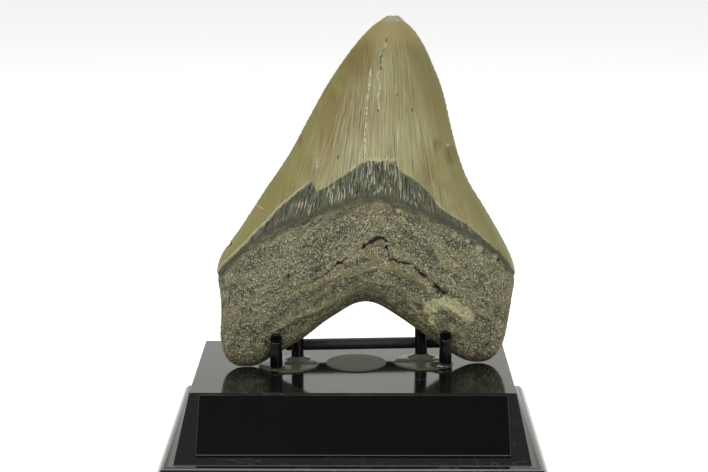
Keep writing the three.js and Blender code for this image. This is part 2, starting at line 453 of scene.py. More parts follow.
# each vessel hole: its middle, half-width, half-height and depth
HOLES = [
    (3.1, 42.7, 0.75, 0.9, 2.0), (11.2, 42.3, 0.7, 0.95, 2.2), (-5.4, 37.0, 1.5, 0.7, 1.9),
    (-9.4, 33.8, 0.55, 0.5, 1.0), (-23.6, 33.0, 0.6, 0.6, 1.0), (-13.4, 34.8, 0.4, 0.4, 0.8),
    (-44.3, 44.6, 0.9, 0.9, 0.8), (52.6, 37.4, 0.6, 0.6, 0.7), (27.5, 41.0, 0.4, 0.4, 0.5),
    (39, 35, 0.35, 0.35, 0.5), (-30, 40, 0.35, 0.35, 0.5), (31.2, 26.2, 0.9, 0.6, 1.2),
    (-4.8, 80.1, 0.28, 0.4, 0.2), (-0.1, 76.3, 0.28, 0.35, 0.2), (-5.2, 75.2, 0.25, 0.6, 0.2),
    (9.4, 91.8, 0.3, 0.5, 0.2), (21.9, 91.7, 0.3, 0.5, 0.2), (16.5, 97.1, 0.3, 0.6, 0.2),
]
# each ridge: its points, then its width and height
RIDGES = [
    ([(11.2, 35.4), (16.3, 34.9), (20.6, 32.4), (23.7, 29.6), (26.8, 26.6)], 1.6, 0.9),
    ([(-3.1, 37.6), (-0.5, 39.2), (1.7, 40.4), (4.5, 39.8), (8.4, 38.6)], 1.3, 0.9),
    ([(2.5, 31.4), (6.5, 30.6), (12.3, 28.9)], 1.2, 0.5),
    ([(-4.9, 35.2), (-8.6, 32), (-11.5, 29.8), (-17.9, 28.4), (-24, 25)], 1.5, 0.6),
    ([(-3.2, 25.3), (-7.6, 22.9), (-18.1, 19), (-22.4, 17.4), (-28.5, 13.5)], 1.6, 0.55),
    ([(-40, 23.5), (-44, 18.6), (-46.6, 15)], 1.0, 0.35),
    ([(34, 12.5), (41, 11), (46, 8)], 1.2, 0.4),
]
CRUST = [(27.2, 20.6), (29.6, 22.2), (32.3, 22.8), (35.4, 21.4), (38.7, 19.4), (41.4, 16.9)]
CRUST_SPURS = [(27.8, 19.1), (28.6, 15.6)]
# the root steps in along its main crack, and its layers run along a line close to it
MAIN_CRACK = [
    (-28.3, 26.0), (-13.5, 31.4), (-5.4, 37.0), (1, 41), (8.4, 46.1), (11.2, 44.0), (14.9, 37.1),
    (22.3, 34.0), (34.1, 24.7),
]
LAYER_LINE = [
    (-52, 12), (-28, 25), (-13.5, 31.4), (-5.4, 37), (8.4, 44), (22.3, 34), (34.1, 24.7), (58, 8),
]


def distance_to(u, v, points):
    """Distance in mm from each (u, v) to a line through the points."""
    nearest = np.full(len(u), 1e3)
    for (u0, v0), (u1, v1) in zip(points, points[1:]):
        du, dv = u1 - u0, v1 - v0
        part = np.clip(((u - u0) * du + (v - v0) * dv) / (du * du + dv * dv), 0, 1)
        nearest = np.minimum(nearest, np.hypot(u - u0 - part * du, v - v0 - part * dv))
    return nearest


def step(value, low, high):
    share = np.clip((value - low) / (high - low), 0, 1)
    return share * share * (3 - 2 * share)


def edge_at(line, u):
    return np.interp(u, [point[0] for point in line], [point[1] for point in line])


def grain(points, size, octaves=2):
    """Seeded noise of about -1 to 1, its lumps the given size in mm along u, v and w."""
    size = np.array(size, float)
    return np.array([noise.fractal(Vector(point), 0.8, 2.1, octaves) for point in points / size])


print(len(CRACKS), "cracks,", len(HOLES), "holes,", len(RIDGES), "ridges")

# %% [markdown]
# ## Tooth: carving
# The fields are added into one height for every point, in millimetres, and each point moves along
# its normal by that much. The enamel stands a little proud of the band, the band is wrinkled, the
# root is lumpy and grainy, and cracks and holes are cut into it. The same fields are kept on the
# mesh as attributes, so that the colours change exactly where the shape does.

# %% Tooth carving
count = len(tooth.data.vertices)


def read(name):
    values = np.empty(count * 3)
    tooth.data.vertices.foreach_get(name, values)
    return values.reshape(-1, 3)


def hill(distance, width):
    return np.exp(-((distance / width) ** 2))


points, normals = read("co"), read("normal")
u, v, out = plan_of(points)
local = np.stack((u, v, out), 1)

# noises, from a fine fray to broad lumps, and some drawn out along the strands or the layers
wobble = grain(local, (3.2, 3.2, 3.2))
fray = grain(local + 40, (1.1, 1.1, 1.1))
lumps = grain(local + 80, (13, 13, 13), 3)
pebbles = grain(local + 120, (2.0, 2.0, 2.0), 3)
fan = (u - 15) * 93 / (178 - v)
strands = grain(np.stack((fan, v, out), 1), (0.8, 16, 6), 2)
wrinkles = grain(np.stack((fan, v, out), 1) + 60, (1.0, 5, 5), 2)
across = v - edge_at(LAYER_LINE, u) + 0.8 * wobble
layers = grain(np.stack((u, across, out), 1) + 90, (13, 2.0, 7), 3)

# where each point lies: on which face, above the enamel's edge, below the band, inside the rim
inner = step(out, -0.6, 0.6)
at_peak = step(v, 66, 71)
jagged = (0.1 + 0.35 * at_peak) * fray + (0.1 + 0.3 * at_peak) * wobble
enamel_edge = inner * edge_at(ENAMEL_EDGE, u) + (1 - inner) * edge_at(OUTER_ENAMEL_EDGE, u)
above = v - enamel_edge + jagged
band_foot = inner * edge_at(BAND_FOOT, u) + (1 - inner) * (edge_at(OUTER_ENAMEL_EDGE, u) - 1.2)
below = band_foot - v + 1.1 * wobble
inside = np.full(count, 1e3)
for line in rim_lines:
    inside = np.minimum(inside, distance_to(u, v, line))

crown = step(above, -0.1, 0.35)
root = step(below, -1.2, 1.6)
band = np.clip(1 - crown - root, 0, 1)

# a deep crack is whole, a shallow one is broken up by noise, and noise bends them all
crack = np.zeros(count)
broken = step(wobble + 0.5 * pebbles, -0.85, -0.3)
dotted = step(wobble + 0.6 * pebbles, -0.35, 0.1)
dug = np.zeros(count)
bent_u, bent_v = u + 0.25 * wobble + 0.4 * fray, v + 0.4 * pebbles + 0.45 * fray
for line, width, depth in CRACKS:
    near = hill(distance_to(bent_u, bent_v, line), width) * inner
    whole = dotted if depth < 0.7 else broken if depth < 2 else 1
    crack = np.maximum(crack, near * min(1, 0.4 + depth / 2) * whole)
    dug = np.maximum(dug, near * depth * (0.5 + 0.5 * whole))
for middle_u, middle_v, wide, tall, depth in HOLES:
    near = np.exp(-(np.hypot((bent_u - middle_u) / wide, (bent_v - middle_v) / tall) ** 4)) * inner
    crack = np.maximum(crack, near)
    dug = np.maximum(dug, near * depth)
raised = np.zeros(count)
for line, width, height in RIDGES:
    near = hill(distance_to(bent_u, bent_v, line), width) * inner
    raised = np.maximum(raised, near * height)
crust_near = np.minimum(distance_to(u, v, CRUST) - 2.4, distance_to(u, v, CRUST_SPURS) - 1.2)
crust = step(-crust_near + 1.3 * wobble + 0.8 * fray, 0, 0.9) * inner

# the heights, in millimetres
relief = 0.22 * crown - 0.26 * band
relief += crown * 0.05 * strands * step(inside, 2, 8)
relief += band * 0.24 * wrinkles * step(inside, 1, 5) * step(-below, 1, 4)
relief += 0.45 * root * layers * inner * step(inside, 0, 4)
relief -= 0.16 * hill(below, 1.0) * inner * (1 - crown)
relief += root * (0.5 * lumps + 0.2 * pebbles + 0.09 * fray) * step(inside, 0, 3)
relief += root * raised + 0.3 * crust * (1 + 0.5 * fray)
over = v - edge_at(MAIN_CRACK, u)
shelf = np.sign(over) * np.exp(-np.abs(over) / 4) * step(np.abs(over), 0, 0.5)
relief += 0.4 * shelf * root * inner * step(u, -34, -24) * step(-u, -40, -30)
relief -= dug
relief += 0.8 * step(v, 124.5, 127.2) * step(u, 12.2, 15.2)
# the lobes keep their full length
down = np.clip(-normals[:, 2], 0, 1)
relief += down * step(-v, -12, -3) * np.where(u < 15, 0.9, 0.6)
relief += 0.8 * down * np.exp(-(((u + 6) / 6) ** 2) - ((v - 20) / 6) ** 2)
relief += 0.42 * np.clip(normals @ ALONG_U, 0, 1) * step(-v, -126, -122)
# the root only just touches the left peg's top
low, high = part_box("left_peg")
from_peg = np.hypot(points[:, 0] - (low.x + high.x) / 2, points[:, 2] - high.z)
relief -= 0.3 * hill(from_peg, 3 * MM) * inner
moved = points + normals * (relief * MM)[:, None]
# the very tip is broken off flat, and no lobe reaches the marble
tip_height = max(vertex.co.z for vertex in nodes["tooth"].data.vertices)
moved[:, 2] = np.minimum(moved[:, 2], tip_height + (0.12 * fray - 0.08) * MM)
moved[:, 2] = np.maximum(moved[:, 2], base_top + 0.3 * MM)
tooth.data.vertices.foreach_set("co", moved.ravel())
tooth.data.update()


def keep(name, values, kind="FLOAT"):
    layer = tooth.data.attributes.new(name, kind, "POINT")
    layer.data.foreach_set("vector" if kind == "FLOAT_VECTOR" else "value", np.ravel(values))


keep("plan", local, "FLOAT_VECTOR")
# the share of a surface that faces down is kept as well, for painted shade in the finish
fields = {
    "above": above, "below": below, "inside": inside, "crack": crack, "crust": crust, "inner": inner,
    "ridge": np.clip(raised / 0.7, 0, 1), "layers": np.clip(0.5 + 0.9 * layers, 0, 1), "painted_shade_facing_down": down,
}
for name, values in fields.items():
    keep(name, values)
smooth(tooth, 180)
print("lobe above the marble:", round((moved[:, 2].min() - base_top) / MM, 2), "mm")
print("relief from", relief.min().round(2), "to", relief.max().round(2), "mm on", count, "points")

# %% [markdown]
# ## Tooth: its finish
# One material covers the tooth, because enamel, band and root are one fossil. The enamel is olive
# tan with fine dark and pale strands that fan out from the tip, the band is a wrinkled dark grey,
# and the root is a speckle of pale and dark grains. Two groups make effects that come back: a
# grainy speckle and a set of strands.

# %% Speckle and strand groups
speckle, start, end = new_group(
    "speckle",
    [
        ("Place", "Vector"), ("Ground", "Color"), ("Pale grain", "Color"), ("Dark grain", "Color"),
        ("Pale amount", "Float"), ("Dark amount", "Float"),
    ],
    [("Color", "Color"), ("Height", "Float")],
)
fine = clouds(start["Place"], 2.2, 3.0, 0.8, 0.4)
aside = stretch(start["Place"], (1, 1, 1), move=(37, 11, 5))
other = clouds(aside, 1.5, 3.0, 0.8, 0.4)
pale = product(span(fine, 0.51, 0.60), start["Pale amount"])
dark = product(span(other, 0.50, 0.41), start["Dark amount"])
ground = start["Ground"]
feed(end["Color"], paint(ground, (dark, start["Dark grain"]), (pale, start["Pale grain"])))
feed(end["Height"], math_of("ADD", product(fine, 0.6), product(other, 0.4)))

strand, start, end = new_group(
    "strand",
    [("Place", "Vector"), ("Spacing", "Vector")],
    [("Dark", "Float"), ("Pale", "Float"), ("Height", "Float")],
)
scaled = add("VectorMath", 0, {0: start["Place"], 1: start["Spacing"]}, operation="MULTIPLY")
lines = clouds(scaled, 1.0, 3.0, 0.62)
aside = stretch(scaled, (1, 1, 1), move=(19, 7, 3))
shifted = clouds(aside, 1.0, 3.0, 0.62)
feed(end["Dark"], span(lines, 0.51, 0.40))
feed(end["Pale"], span(shifted, 0.52, 0.63))
feed(end["Height"], lines)
print("groups:", speckle.name, strand.name)

# %% Tooth finish
# each stain of the enamel: its middle, half-sizes in mm, tint and amount
STAINS = [
    ((-5, 88), (5, 16), (136, 112, 46), 0.85), ((-9, 80), (4, 12), (146, 112, 40), 0.85),
    ((-15, 70), (6, 9), (144, 116, 48), 0.8), ((-22, 62), (6, 7), (140, 116, 54), 0.5),
    ((-33.8, 57), (2.2, 2.6), (184, 150, 92), 1.0), ((30.8, 79.3), (2.4, 4.0), (112, 88, 50), 1.0),
    ((36, 75.8), (3.5, 5), (112, 92, 60), 0.9), ((27, 66), (6, 14), (128, 106, 50), 0.8),
    ((4, 96), (4, 14), (134, 112, 54), 0.7), ((-18.2, 82), (1.4, 3.4), (142, 96, 54), 0.9),
    ((-14.4, 92), (1.0, 4), (146, 104, 60), 0.7), ((52, 44), (5, 6), (150, 140, 82), 0.6),
    ((4, 112), (7, 11), (126, 102, 50), 0.95),
]
PALE_CHIPS = [
    [(13.6, 117.5), (12.6, 115)], [(11.9, 112.9), (11.2, 111.6)],
    [(11.4, 112.4), (10.7, 107.1), (9.6, 104.6), (10.5, 101.3), (9.4, 95.5), (10.4, 91)],
    [(7.6, 107.5), (7.1, 103.8), (6.3, 98.4), (5.7, 95.3), (5.2, 88.5), (4.5, 82.7), (4.5, 75.3)],
    [(34.6, 78.8), (35.4, 80.2)], [(-34.6, 58.6), (-32.0, 57.0)], [(-12.4, 76), (-12.8, 71)],
]
# patches of the band where pale ticks crowd: middle and half-sizes
TICK_PATCHES = [
    ((9, 64), (11, 6)), ((-3, 62), (12, 8)), ((-16, 56.5), (8, 6)), ((19, 61), (9, 9)),
    ((9, 69), (12, 9)), ((-36, 47), (8, 6)),
]
# each stain of the root: its middle, half-sizes, tint and amount
ROOT_STAINS = [
    ((6, 53), (22, 9), (98, 92, 68), 0.6), ((-30, 42), (16, 9), (152, 150, 122), 0.8),
    ((-12, 46), (12, 8), (122, 112, 94), 0.6), ((38, 42), (14, 10), (126, 130, 106), 0.5),
    ((49, 30), (10, 12), (126, 118, 84), 0.5), ((-22, 22), (16, 10), (82, 86, 64), 0.6),
    ((10, 34), (12, 4), (92, 95, 74), 0.5), ((24, 18), (5, 8), (108, 82, 52), 0.7),
    ((-44, 24), (8, 14), (126, 122, 92), 0.5), ((56, 20), (4, 16), (134, 106, 58), 0.8),
    ((-38, 8), (12, 9), (72, 74, 54), 0.85), ((44, 9), (12, 9), (92, 92, 64), 0.6),
    ((7.2, 43.0), (4.5, 2.2), (142, 114, 78), 1.0), ((-1.5, 40.2), (5, 1.5), (180, 180, 156), 1.0),
]
# bare pale spots of the root: middle and radius
PALE_SPOTS = [
    (35.7, 46.6, 1.5), (40.8, 44.3, 1.1), (45.1, 41.7, 2.1), (51.3, 38.8, 1.5), (15.7, 55.3, 1.2),
]
DEEP = 60  # half-depth in mm of an oval that reaches through the tooth
fossil, shader = new_finish("fossil_tooth")
plan = named("plan", "Vector")
along_u, along_v, along_out = add("SeparateXYZ", None, {0: plan})
above_line, below_line, inside_edge, inner_face, layer_relief_for_painted_light = [
    named(name) for name in ("above", "below", "inside", "inner", "layers")
]


def patch(at, size, deep=DEEP):
    """An oval on the tooth's plane."""
    return oval(plan, (*at, 0), (*size, deep))


def plan_clouds(move, scale, *settings, squeeze=(1, 1, 1)):
    """Clouds on the tooth's plane, moved aside so that no two sets agree."""
    return clouds(stretch(plan, squeeze, move=move), scale, *settings)


# strands fan out from a point above the tip
spread = math_of("DIVIDE", 93.0, math_of("SUBTRACT", 178.0, along_v))
fanned = product(math_of("SUBTRACT", along_u, 15.0), spread)
fan_place = add("CombineXYZ", 0, {0: fanned, 1: along_v, 2: along_out})
patches = clouds(plan, 0.055, 2.0, 0.5)
mottle = plan_clouds((9, 4, 2), 0.16, 3.0, 0.6, squeeze=(1, 0.55, 1))
chips = plan_clouds((4, 4, 4), 1.4, 3.0, 0.8, squeeze=(1, 0.6, 1))

# enamel
heart = span(inside_edge, 3.0, 15.0, 0.2, 1.0)
heart = product(heart, span(mottle, 0.25, 0.6, 0.6, 1.0))
right_margin = product(span(inside_edge, 10, 3), span(along_u, 14, 22))
right_margin = product(right_margin, span(mottle, 0.3, 0.6, 0.5, 1.0), 0.75)
left_top = product(span(along_u, 14, 2), span(along_v, 78, 100))
right_top = product(span(along_u, 12, 20), span(along_v, 84, 96), 0.5)
strands_here = use_group(strand, place=fan_place, spacing=(5.2, 0.032, 0.3))
streaks = math_of("MAXIMUM", span(strands_here["Height"], 0.56, 0.44), 0.4)
dashes = span(clouds(stretch(fan_place, (0.6, 0.06, 0.3)), 1.0, 2.0), 0.28, 0.52)
enamel = paint(
    mix(heart, seen(153, 147, 84), seen(172, 168, 112)),
    (right_margin, seen(136, 129, 78)),
    (product(span(along_v, 96, 84), heart, 0.5), seen(175, 171, 126)),
    (product(left_top, span(mottle, 0.36, 0.6), 0.6), seen(134, 114, 64)),
    (right_top, seen(140, 126, 76)),
    (product(span(along_v, 112, 121), 0.7), seen(180, 164, 112)),
    *((product(patch(at, size), streaks, share), seen(*tint)) for at, size, tint, share in STAINS),
    (product(span(patches, 0.48, 0.66), 0.45), seen(152, 136, 82)),
    (product(strands_here["Dark"], heart, dashes, 0.85), seen(90, 76, 34)),
    (product(strands_here["Pale"], heart, dashes, 0.85), seen(216, 210, 170)),
)

# band, with a smooth strip and a groove along its foot, with painted shade in the groove
ticks = use_group(strand, place=fan_place, spacing=(2.7, 0.2, 0.3))
reddish = product(span(mottle, 0.46, 0.66), span(below_line, -9, -3), 0.5)
above_strip = span(below_line, -0.5, -3.0, 0.3, 1.0)
crowded = 0.3
for at, size in TICK_PATCHES:
    crowded = math_of("MAXIMUM", crowded, patch(at, size))
dark_ticks = product(span(ticks["Dark"], 0.3, 0.8), above_strip, 0.95)
pale_ticks = product(span(ticks["Pale"], 0.3, 0.75), crowded, above_strip, 0.88)
# painted shade in the groove at the band's foot
painted_groove_shade = product(span(below_line, -3.2, -0.8), span(below_line, 1.2, -0.4), 0.6)
band_colour = paint(
    seen(101, 105, 82),
    (reddish, seen(120, 98, 72)), (dark_ticks, seen(42, 43, 31)),
    (pale_ticks, seen(222, 219, 188)), (painted_groove_shade, seen(66, 66, 52)),
)

# root
broad = plan_clouds((5, 2, 7), 0.11, 2.0, 0.6)
lumpy = plan_clouds((8, 1, 6), 0.62, 4.0, 0.7, squeeze=(0.8, 1, 1))
blotchy = span(mottle, 0.25, 0.6, 0.3, 1.0)
root_ground = paint(
    mix(span(patches, 0.35, 0.62), seen(113, 115, 91), seen(113, 107, 79)),
    (product(span(mottle, 0.52, 0.70), 0.5), seen(112, 96, 68)),
    (product(span(along_v, 26, 8), 0.85), seen(82, 83, 60)),
    (product(span(broad, 0.52, 0.66), 0.45), seen(150, 150, 122)),
    (product(span(broad, 0.46, 0.34), 0.5), seen(82, 80, 58)),
    *((product(patch(at, size), blotchy, share), seen(*tint)) for at, size, tint, share in ROOT_STAINS),
    (span(lumpy, 0.44, 0.60, 0.0, 0.7), seen(154, 152, 122)),
    (span(lumpy, 0.49, 0.36, 0.0, 0.7), seen(64, 63, 46)),
    # raised layers are painted lighter and low ones darker: painted light and shade on the relief
    (span(layer_relief_for_painted_light, 0.55, 0.85, 0.0, 0.65), seen(156, 149, 110)),
    (span(layer_relief_for_painted_light, 0.45, 0.15, 0.0, 0.7), seen(64, 64, 46)),
    (product(patch((8, 53), (9, 5)), span(mottle, 0.4, 0.6), 0.6), seen(124, 92, 58)),
    (product(named("ridge"), 0.85), seen(160, 150, 106)),
    (product(span(inside_edge, 7.0, 1.0), span(along_v, 34, 20), 0.55), seen(112, 94, 56)),
)
fading = span(below_line, -0.5, 5.0, 0.35, 1.0)
pale_here = span(clouds(plan, 0.32, 2.0), 0.35, 0.62, 0.35, 0.9)
dark_here = span(plan_clouds((2, 9, 4), 0.26, 2.0), 0.35, 0.62, 0.4, 0.85)
grainy = use_group(
    speckle, place=stretch(plan, (1, 0.8, 1), turn=(0, 0, 0.6)), ground=root_ground,
    pale_grain=seen(226, 223, 182), dark_grain=seen(20, 19, 10),
    pale_amount=product(pale_here, fading), dark_amount=product(dark_here, fading),
)
salt = span(plan_clouds((3, 8, 2), 1.3, 3.0, 0.8), 0.57, 0.63)
crust_tone = span(clouds(plan, 1.6, 3.0), 0.42, 0.58)
crust_colour = mix(crust_tone, seen(176, 172, 122), seen(224, 220, 172))
crust_holes = span(plan_clouds((6, 3, 1), 0.9, 3.0, 0.7), 0.38, 0.46, 0.25, 0.92)
weathered = span(lumpy, 0.3, 0.55, 0.4, 1.0)
root_colour = paint(
    add("Gamma", 0, {"Color": grainy["Color"], "Gamma": 1.2}),
    (product(salt, fading, 0.8), seen(226, 223, 190)),
    (product(named("crust"), crust_holes), crust_colour),
    *(
        (product(patch((u, v), (radius, radius), 90), inner_face, weathered), seen(182, 183, 146))
        for u, v, radius in PALE_SPOTS
    ),
)

# pale chips along the cracks of the crown, and the grey broken tip
chipped = span(chips, 0.47, 0.56)
for line in PALE_CHIPS:
    for (u0, v0), (u1, v1) in zip(line, line[1:]):
        middle_at = ((u0 + u1) / 2, (v0 + v1) / 2, 0)
        reach = (0.62, np.hypot(u1 - u0, v1 - v0) * 0.75, DEEP)
        chip = oval(plan, middle_at, reach, -np.arctan2(u1 - u0, v1 - v0))
        enamel = mix(product(chip, chipped, 0.95), enamel, seen(226, 220, 190))
broken_tip = product(span(along_v, 124.2, 125.4), span(along_u, 12.6, 14.0))
broken_tip = product(broken_tip, span(chips, 0.40, 0.52, 0.2, 0.95))
enamel = paint(
    enamel,
    (product(patch((17, 120.6), (2.6, 3.4)), 0.7), seen(176, 154, 112)),
    (broken_tip, seen(186, 184, 160)),
)

# the three zones meet at ragged edges; a patchy pale line on the enamel's edge is painted highlight
ragged = math_of("SUBTRACT", clouds(plan, 1.3, 4.0, 0.75), 0.5)
ragged = product(ragged, span(along_v, 69, 72.5, 1.7, 5.0))
above_edge = math_of("ADD", above_line, ragged)
below_edge = math_of("ADD", below_line, product(ragged, 3.5))
is_enamel = span(above_edge, -0.15, 0.25)
patchy = product(span(clouds(plan, 0.14, 2.0), 0.45, 0.62), 0.55)
high_patchy = product(span(along_v, 70.5, 72), span(chips, 0.45, 0.6))
patchy = math_of("MAXIMUM", patchy, high_patchy)
patchy = math_of("MAXIMUM", span(along_u, -13.0, -19.0), patchy)
painted_edge_highlight = product(span(above_edge, -0.35, 0.1), span(above_edge, 0.75, 0.3))
painted_edge_highlight = product(painted_edge_highlight, patchy, inner_face, 0.85)
painted_peak_highlight = product(span(above_edge, -0.7, 0.0), span(above_edge, 1.7, 0.7))
painted_peak_highlight = product(painted_peak_highlight, span(along_v, 69, 71.5), span(chips, 0.42, 0.56), inner_face, 0.85)
surface = paint(
    mix(span(below_edge, -1.6, 1.6), band_colour, root_colour),
    (is_enamel, enamel),
    # the pale line along the enamel's edge: painted highlight
    (math_of("MAXIMUM", painted_edge_highlight, painted_peak_highlight), seen(214, 209, 168)),
    (product(span(named("crack"), 0.28, 0.62), 0.95), seen(30, 27, 18)),
    # surfaces that face down are painted darker: painted shade
    (product(span(named("painted_shade_facing_down"), 0.4, 1.0), 0.45), seen(44, 42, 27)),
)
not_enamel = math_of("SUBTRACT", 1.0, is_enamel)
is_band = product(not_enamel, span(below_edge, 1.6, -1.6))
height = product(strands_here["Height"], heart, is_enamel, 0.35)
height = math_of("ADD", height, product(ticks["Height"], is_band))
height = math_of("ADD", height, product(grainy["Height"], not_enamel, 0.9))
set_shader(
    shader, base=surface, rough=span(is_enamel, 0.0, 1.0, 0.72, 0.42),
    normal=bump(height, 0.5 * MM), specular=0.42,
)
finish_piece(tooth, "fossil_tooth", ["tooth"], fossil)

# %% [markdown]
# ## The marble base
# The base is cut from one piece of black marble: a block with a front sloping at 45 degrees, on a
# low foot with a quarter-round edge. The foot's upper edges are bevelled round, its top is inset
# to leave a ledge, and the block is extruded from it. Made smaller and pushed back, the block's
# top gives the front its slope. A ball cuts a small natural pit in the top, and a narrow bevel
# breaks every arris.

# %% Base
BLOCK_RISE = 19.5 * MM
FOOT_ROUND = 4.5 * MM
LEDGE = 1.5 * MM
TOP_SIZE = Vector((113, 69)) * MM
ARRIS = 0.42 * MM
PIT_AT = Vector((-34.6, 0.8)) * MM
PIT_SIZE = Vector((1.25, 1.5, 0.6)) * MM
PIT_RAISED = 0.15 * MM

low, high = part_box("marble_base")
foot_top = base_top - BLOCK_RISE
border = FOOT_ROUND + LEDGE
block_size = Vector((high.x - low.x - 2 * border, high.y - low.y - 2 * border))

bpy.ops.mesh.primitive_cube_add(size=1, location=(0, 0, foot_top / 2))
base = bpy.context.object
base.scale = (high.x - low.x, high.y - low.y, foot_top)
settle(base, "marble_base_polished")
pick(base, edges=level_at(foot_top))
bpy.ops.mesh.bevel(offset=FOOT_ROUND, segments=9)
close(base)
pick(base, faces=lambda face: face.normal.z > 0.999)
bpy.ops.mesh.inset(thickness=LEDGE)
extrude((0, 0, BLOCK_RISE))
bpy.ops.transform.resize(value=(TOP_SIZE.x / block_size.x, TOP_SIZE.y / block_size.y, 1))
front_top = low.y + border + BLOCK_RISE
bpy.ops.transform.translate(value=(0, front_top + TOP_SIZE.y / 2, 0))
close(base)

bpy.ops.mesh.primitive_ico_sphere_add(
    subdivisions=3, radius=1, location=(PIT_AT.x, PIT_AT.y, base_top + PIT_RAISED)
)
pit = bpy.context.object
pit.scale = PIT_SIZE
settle(pit, "pit")
modify(base, "BOOLEAN", operation="DIFFERENCE", object=pit, solver="EXACT")
bpy.data.objects.remove(pit)
bevel_arrises(base, ARRIS, 3, 32)
smooth(base)
modify(base, "WEIGHTED_NORMAL", mode="FACE_AREA", weight=100, keep_sharp=True)
print("base:", [round(side / MM, 1) for side in base.dimensions], "mm")

# %% [markdown]
# ## The marble's finish
# The stone is nearly black, with pale cloudy veins that show best near the front of its top. It is
# polished to a mirror. Its narrow bevels are only honed, and their pale tone is partly painted
# highlight, so they show as thin pale lines.

# %% Marble finish
# each cloudy vein on the top: its middle, half-width and half-depth in mm, its turn and strength
VEINS = [
    (-35.5, -12.5, 7, 3.5, 0.05, 1.0), (-52.5, 8.6, 6, 0.7, -0.32, 0.5), (-23, -1.5, 3.2, 0.6, 1.03, 0.7),
    (-4.8, -18, 8, 2.5, -0.2, 1.0), (36.5, -3.2, 5, 1.0, 0.78, 0.6), (41, -12.6, 1.5, 6, 0.0, 0.5),
    (43, 14, 5, 0.8, -0.62, 0.4), (22.6, -10, 7, 2.0, -0.2, 0.6), (-14.7, 8.8, 0.6, 2.6, 0.3, 1.0),
]

marble, shader = new_finish("polished_black_marble")
stone = place()
drift = clouds(stretch(stone, (18, 55, 55), turn=(0, 0, 0.25)), 1.0, 4.0, 0.62, 0.6)
streaked = clouds(stretch(stone, (90, 420, 420), turn=(0, 0, -0.12)), 1.0, 3.0, 0.6, 0.8)
streaked = span(streaked, 0.40, 0.62)
cloud = product(span(drift, 0.60, 0.78), 0.5)
for x, y, wide, deep, turn, strength in VEINS:
    here = oval(stone, (x * MM, y * MM, base_top), (wide * MM, deep * MM, 0.05), turn)
    cloud = math_of("MAXIMUM", cloud, product(here, streaked, strength))
thread_place = stretch(stone, (22, 60, 60), turn=(0, 0, -0.35), move=(3, 1, 2))
thread = math_of("SUBTRACT", clouds(thread_place, 1.0, 3.0, 0.6, 1.4), 0.5)
thread = span(math_of("ABSOLUTE", thread), 0.010, 0.0)
ground = paint(
    (0.0065, 0.0080, 0.0072, 1),
    (cloud, (0.046, 0.052, 0.062, 1)),
    (product(thread, span(drift, 0.50, 0.62), 0.3), (0.12, 0.125, 0.125, 1)),
)
set_shader(
    shader, base=ground, rough=span(clouds(stone, 900.0, 2.0), 0.35, 0.75, 0.08, 0.12),
    normal=bump(clouds(stone, 60.0, 1.0), 0.02 * MM), ior=1.5,
)

honed_edge_with_painted_highlight, shader = new_finish("honed_marble_edge_painted_highlight")
worn = clouds(place(), 300.0, 3.0)
# the bevels' pale tone is partly honed stone and partly a painted highlight
honed_tone_and_painted_highlight = mix(span(worn, 0.35, 0.65), (0.06, 0.064, 0.058, 1), (0.15, 0.155, 0.14, 1))
set_shader(shader, base=honed_tone_and_painted_highlight, rough=span(worn, 0.3, 0.7, 0.28, 0.45), ior=1.5)
print(len(VEINS), "veins on the top")
finish_piece(base, "black_marble", ["marble_base"], marble, honed_edge_with_painted_highlight)

# %% [markdown]
# ## The plate
# A bare black plate is stuck to the slope. Its coating is cut back round the edge, where a thin
# line of pale metal shows. A cube is made as thin as the plate, its front face's edges are
# bevelled, and only that narrow bevel takes the bare metal.

# %% Plate
PLATE_WIDTH = 106.5 * MM
PLATE_HEIGHT = 23.0 * MM
PLATE_THICK = 1.0 * MM
GLUE_GAP = 0.3 * MM
RIM = 0.2 * MM
SLOPE = radians(45)

low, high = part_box("name_plate")
out_of_slope = Vector((0, -sin(SLOPE), cos(SLOPE)))
middle = (low + high) / 2 - out_of_slope * GLUE_GAP / 2
bpy.ops.mesh.primitive_cube_add(size=1)
plate = bpy.context.object
plate.scale = (PLATE_WIDTH, PLATE_HEIGHT, PLATE_THICK + GLUE_GAP)
settle(plate, "bare_plate")
pick(plate, faces=lambda face: face.normal.z > 0.9)
bpy.ops.mesh.bevel(offset=RIM, segments=1)
close(plate)
plate.rotation_euler.x = SLOPE
plate.location = middle
settle(plate, "bare_plate")

coating, shader = new_finish("black_coating")
flat = place()
brushed = clouds(stretch(flat, (60, 900, 900), turn=(SLOPE, 0, 0)), 1.0, 2.0)
set_shader(
    shader, base=mix(brushed, (0.0012, 0.0015, 0.0011, 1), (0.0022, 0.0024, 0.0019, 1)),
    rough=span(clouds(flat, 240.0, 3.0), 0.3, 0.7, 0.30, 0.34),
    normal=bump(brushed, 0.004 * MM), specular=0.1,
)

bare_metal, shader = new_finish("bare_metal_edge")
grind = clouds(stretch(place(), (900, 200, 200)), 1.0, 2.0)
set_shader(
    shader, base=mix(grind, seen(70, 72, 62), seen(120, 122, 106)),
    rough=span(grind, 0.3, 0.7, 0.3, 0.5), metal=0.6,
)
finish_piece(plate, "black_plate", ["name_plate"], coating, bare_metal)
for face in plate.data.polygons:
    face.material_index = 1 if 0.3 < face.normal.dot(out_of_slope) < 0.99 else 0

# %% [markdown]
# ## Rods
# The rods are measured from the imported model: the middle of each one's points and the line they
# lie along. The bar is a plain painted rod with rounded ends. Posts and pegs wear a shiny black
# sleeve over a wire. The posts' sleeves are cut square, the pegs' at an angle that faces the
# front, so that a thick round lip stands round a sunk wire end and catches the light. Each sleeve's
# foot is sunk a little into its pad.

